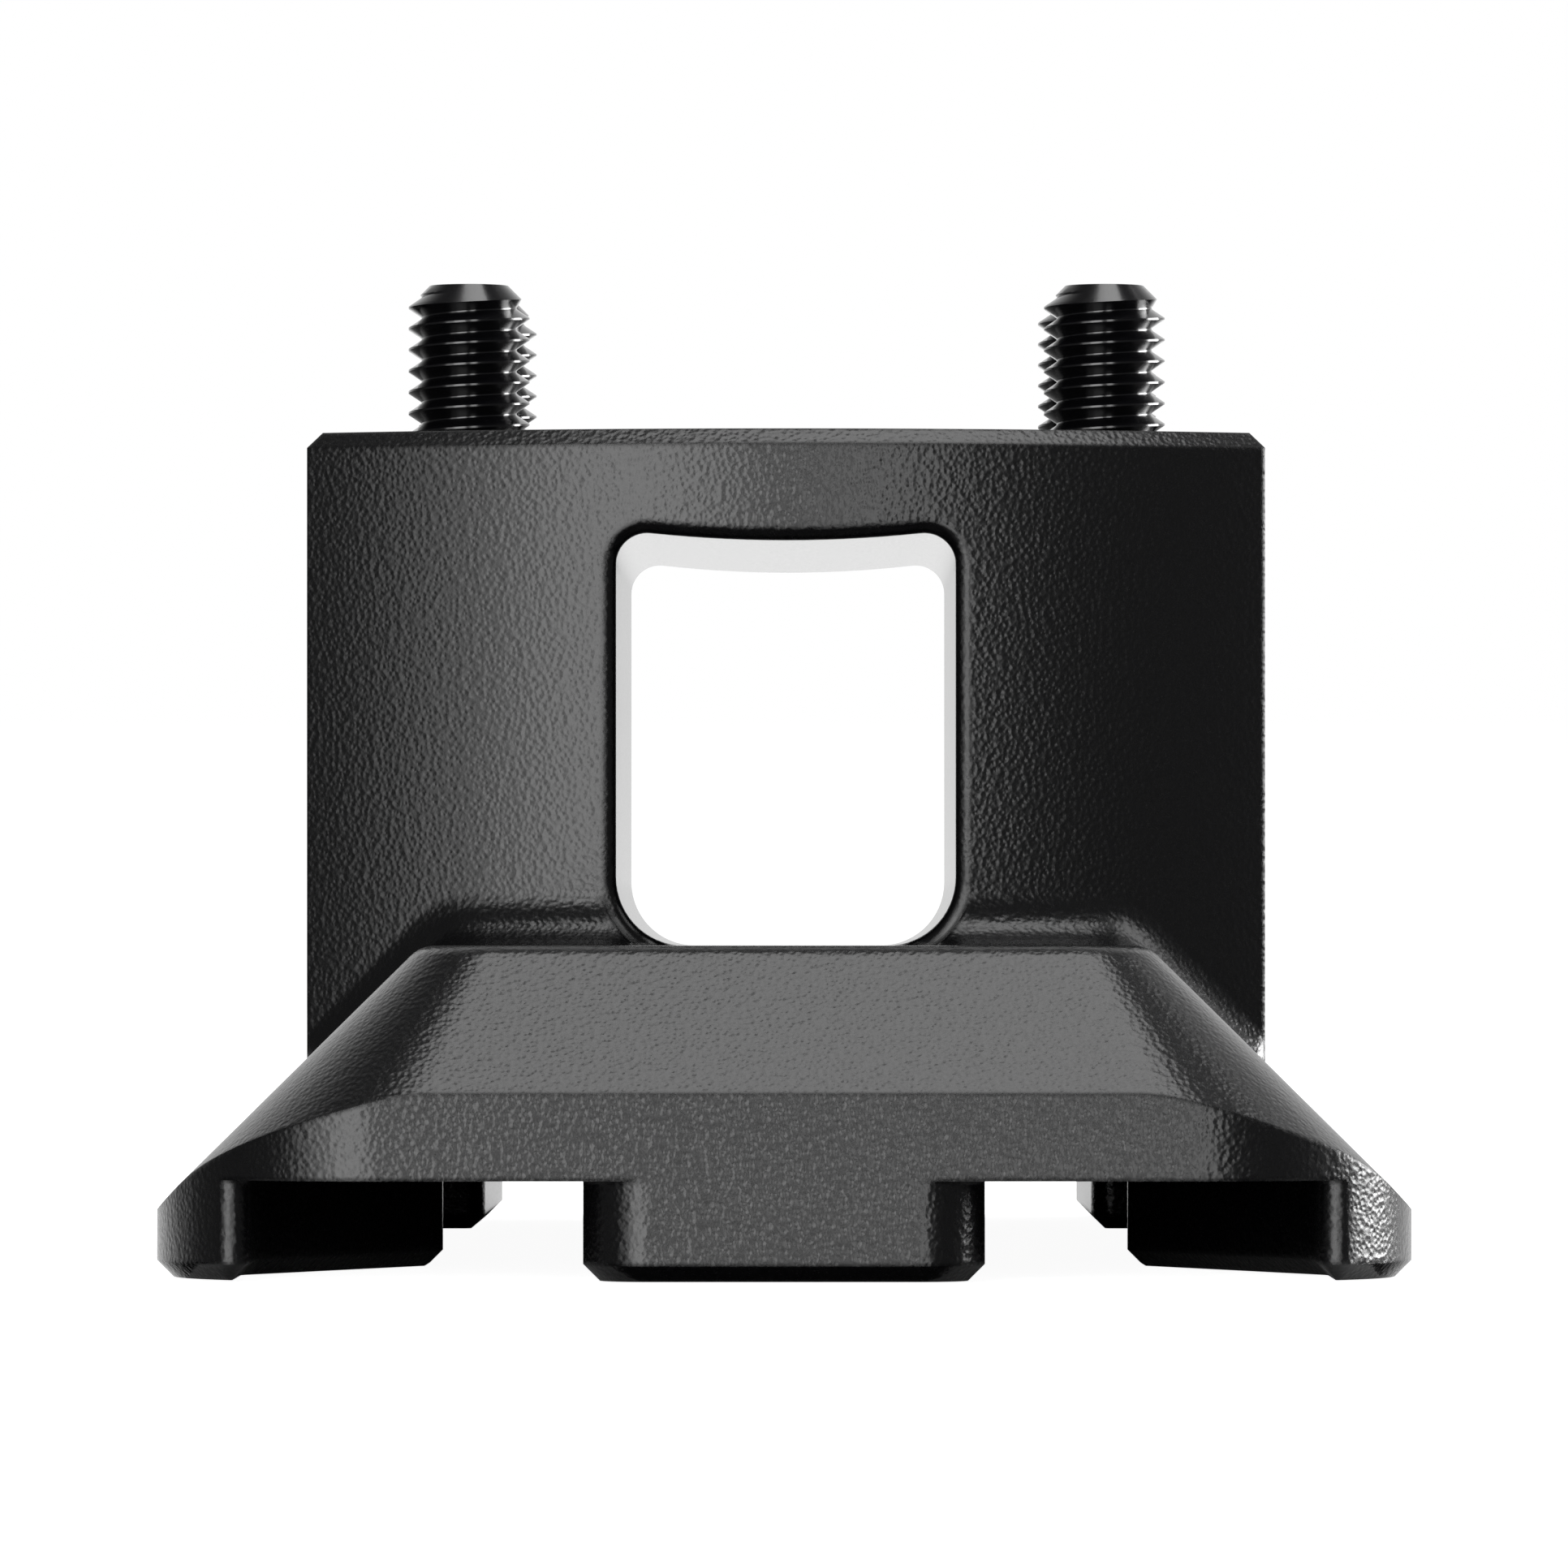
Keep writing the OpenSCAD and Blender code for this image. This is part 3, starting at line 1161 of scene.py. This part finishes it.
@dataclass
class Casting:
    """The one-piece body: foot, block and window, with the screws' stepped holes.

    Sizes are in millimetres and repeat the part's source, angles in degrees.
    """

    node: str = "bracket_body"
    foot: Foot = field(default_factory=Foot)
    block: Block = field(default_factory=lambda: Block(Foot()))
    screw_places: Pair = (10.5, 4.9)
    seat_z: float = 11.8
    hole_d: float = 4.3
    counterbore_d: float = 7.5
    hole_span: Pair = (0.5, 30.0)
    hole_step: float = 6.0
    weld: float = 0.002
    smooth_below: float = 25.0
    window_reach: Pair = (5.5, 16.2)
    window_span: Pair = (9.9, 23.5)

    def screw_hole(self, x: float, y: float) -> bpy.types.Object:
        """Builds a screw's stepped hole as a solid that passes the body on both ends.

        Args:
            x: The hole's place across the foot.
            y: The hole's place along the foot.

        Returns:
            The solid.
        """
        wide, narrow = self.counterbore_d / 2, self.hole_d / 2
        low, high = self.hole_span
        levels = (
            (wide, low),
            (wide, self.seat_z),
            (narrow, self.seat_z),
            (narrow, high),
        )
        rings = []
        for radius, height in levels:
            circle = arc((x, y), radius, 0, 360, self.hole_step)[:-1]
            rings.append(lifted(circle, height))
        return skinned("screw_hole", rings)

    def finish_mesh(self, mesh: bpy.types.Mesh) -> None:
        """Scales the mesh to metres and shades it smooth up to its real edges.

        Args:
            mesh: The casting's mesh.
        """
        work = bmesh.new()
        work.from_mesh(mesh)
        bmesh.ops.remove_doubles(work, verts=work.verts, dist=self.weld)
        for face in work.faces:
            face.smooth = True
        bmesh.ops.scale(work, vec=(MM, MM, MM), verts=work.verts)
        work.to_mesh(mesh)
        work.free()
        mesh.set_sharp_from_angle(angle=math.radians(self.smooth_below))

    def in_window(self, point: Vector) -> bool:
        """Says if a point lies on a wall of the window.

        Args:
            point: The point, in millimetres.

        Returns:
            True inside the window's walls, short of their rounded rims.
        """
        reach_x, reach_y = self.window_reach
        low, high = self.window_span
        beside = abs(point.x) < reach_x and abs(point.y) < reach_y
        return beside and low < point.z < high

    def build(
        self, material: bpy.types.Material, smooth: bpy.types.Material
    ) -> bpy.types.Object:
        """Builds the dressed casting, which stands for its CAD node.

        Args:
            material: The casting's coat.
            smooth: The coat inside the window.

        Returns:
            The casting's object.
        """
        body = self.foot.build()
        combine(body, self.block.build(), "UNION")
        self.foot.hollow(body)
        out_x, out_y = self.screw_places
        for y in (-out_y, out_y):
            for x in (-out_x, out_x):
                combine(body, self.screw_hole(x, y), "DIFFERENCE")
        body.name = body.data.name = "dressed_casting"
        self.finish_mesh(body.data)
        body.data.materials.clear()
        for finish in (material, smooth):
            body.data.materials.append(finish)
        for face in body.data.polygons:
            face.material_index = int(self.in_window(face.center / MM))
        even = body.modifiers.new("even_normals", "WEIGHTED_NORMAL")
        even.keep_sharp = True
        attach(body, "root")
        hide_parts(self.node)
        return body


@dataclass
class SoftBox:
    """A rectangular lamp that points at the bracket.

    Its place is given by the direction to it: azimuth from the camera's side,
    positive to the right, and elevation, both in degrees. Its sizes and its
    distance are in metres.
    """

    name: str
    azimuth: float
    elevation: float
    distance: float
    width: float
    height: float
    radiance: float
    target: Point = (0.0, 0.0, 10 * MM)

    def build(self) -> bpy.types.Object:
        """Builds the lamp.

        Returns:
            The lamp.
        """
        lamp = bpy.data.lights.new(self.name, "AREA")
        lamp.shape = "RECTANGLE"
        lamp.size = self.width
        lamp.size_y = self.height
        lamp.energy = self.radiance * math.pi * self.width * self.height
        box = bpy.data.objects.new(self.name, lamp)
        turn, lift = math.radians(self.azimuth), math.radians(self.elevation)
        level = math.cos(lift)
        way = Vector(
            (math.sin(turn) * level, -math.cos(turn) * level, math.sin(lift))
        )
        box.location = way * self.distance + Vector(self.target)
        box.rotation_euler = way.to_track_quat("Z", "Y").to_euler()
        box.visible_camera = False
        bpy.context.scene.collection.objects.link(box)
        return box


@dataclass
class Studio:
    """The photographer's side: camera, lamps, paper floor and white surround.

    Spans are pairs of where a change starts and where it ends. Those of the
    surround are in the direction's own Y or Z, from -1 to 1.
    """

    camera_place: Point = (0.8 * MM, -383.5 * MM, 10.08 * MM)
    lens_mm: float = 262.92
    sensor_mm: float = 36.0
    shift: Pair = (-0.01708, 0.10145)
    nearest: float = 10 * MM
    floor_drop: float = 0.05 * MM
    shade_drop: float = 0.04 * MM
    floor_half: Pair = (3.0, 3.0)
    shade_half: Pair = (18 * MM, 43 * MM)
    dim: float = 0.10
    bright: float = 1.05
    behind: Pair = (0.32, 0.95)
    low_fade: Pair = (-0.4, -0.12)
    horizon: Pair = (-0.06, 0.02)
    bounce: Pair = (1.35, 0.95)
    boxes: Sequence[SoftBox] = (
        SoftBox("key_edge", -24.0, 8.0, 1.25, 0.86, 1.20, 1.9),
        SoftBox("key", -16.0, 8.0, 1.2, 0.46, 1.15, 3.3),
        SoftBox("front_fill", 10.0, 4.0, 1.2, 0.24, 0.95, 4.3),
        SoftBox("overhead", 30.0, 83.0, 0.9, 0.59, 0.42, 3.9),
        SoftBox("right_rim", 107.0, 8.0, 1.2, 0.68, 0.30, 24.0),
        SoftBox("right_high", 100.0, 43.0, 1.2, 0.80, 0.55, 2.5),
    )

    def build_camera(self) -> None:
        """Builds the camera, level and looking along Y."""
        data = bpy.data.cameras.new("camera")
        data.sensor_width = self.sensor_mm
        data.lens = self.lens_mm
        data.shift_x, data.shift_y = self.shift
        data.clip_start = self.nearest
        camera = bpy.data.objects.new("camera", data)
        camera.location = self.camera_place
        camera.rotation_euler = (math.pi / 2, 0.0, 0.0)
        bpy.context.scene.collection.objects.link(camera)
        bpy.context.scene.camera = camera

    def build_surround(self) -> None:
        """Builds the surround: white behind the bracket, dim on the camera's side."""
        world = bpy.data.worlds.new("surround")
        world.use_nodes = True
        tree = world.node_tree
        tree.nodes.clear()
        way = add_node(tree, "ShaderNodeTexCoord").outputs["Generated"]
        parts = add_node(tree, "ShaderNodeSeparateXYZ", Vector=way)
        y, z = parts.outputs["Y"], parts.outputs["Z"]
        white = mapped(tree, y, (self.dim, self.bright), self.behind, "SMOOTHSTEP")
        above = mapped(tree, z, (0.0, 1.0), self.low_fade)
        bounce = mapped(tree, z, self.bounce, self.horizon)
        lit = calculated(tree, "MULTIPLY", white, above)
        lit = calculated(tree, "MULTIPLY", lit, bounce)
        rays = add_node(tree, "ShaderNodeLightPath")
        seen = calculated(tree, "MAXIMUM", lit, rays.outputs["Is Camera Ray"])
        glow = add_node(tree, "ShaderNodeBackground", Color=WHITE, Strength=seen)
        add_node(tree, "ShaderNodeOutputWorld", Surface=glow.outputs["Background"])
        bpy.context.scene.world = world

    def build_sheet(
        self,
        name: str,
        half: Pair,
        height: float,
        paper: bpy.types.Material,
    ) -> bpy.types.Object:
        """Builds one level sheet of the studio's paper.

        Args:
            name: The sheet's name.
            half: Half its size in X and in Y.
            height: Its height.
            paper: Its material.

        Returns:
            The sheet.
        """
        x, y = half
        mesh = bpy.data.meshes.new(name)
        mesh.from_pydata(
            [(-x, -y, height), (x, -y, height), (x, y, height), (-x, y, height)],
            [],
            [(0, 1, 2, 3)],
        )
        mesh.materials.append(paper)
        sheet = bpy.data.objects.new(name, mesh)
        bpy.context.scene.collection.objects.link(sheet)
        return sheet

    def build_floor(self) -> None:
        """Builds the paper floor, and the shaded paper that the hollow mirrors.

        The wide floor stays out of the coat's reflections, where its near edge
        would cut the lamps in two. Only the part under the foot is mirrored.
        """
        paper = StudioPaper().build()
        floor = self.build_sheet("floor", self.floor_half, -self.floor_drop, paper)
        floor.visible_glossy = False
        shaded = self.build_sheet(
            "shaded_paper", self.shade_half, -self.shade_drop, paper
        )
        shaded.visible_camera = False
        shaded.visible_diffuse = False
        shaded.visible_shadow = False

    def build(self) -> None:
        """Builds the whole studio."""
        self.build_camera()
        self.build_surround()
        self.build_floor()
        for box in self.boxes:
            box.build()
        bpy.context.scene.view_settings.view_transform = "Standard"


def main() -> None:
    """Builds the studio, the casting and the screws."""
    logging.basicConfig(level=logging.INFO, format="%(name)s: %(message)s")
    Studio().build()
    LOG.info("studio ready")
    coat = PowderCoat()
    thin = PowderCoat("thin_powder_coat", roughness=0.16, grain_depth_mm=0.001)
    body = Casting().build(coat.build(), thin.build())
    LOG.info("dressed %s", body.name)
    steel = BlackOxide().build()
    for node in sorted(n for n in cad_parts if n.startswith("screw_")):
        screw = CapScrew(node).build(steel)
        LOG.info("built %s with %d faces", screw.name, len(screw.data.polygons))


if __name__ == "__main__":
    main()
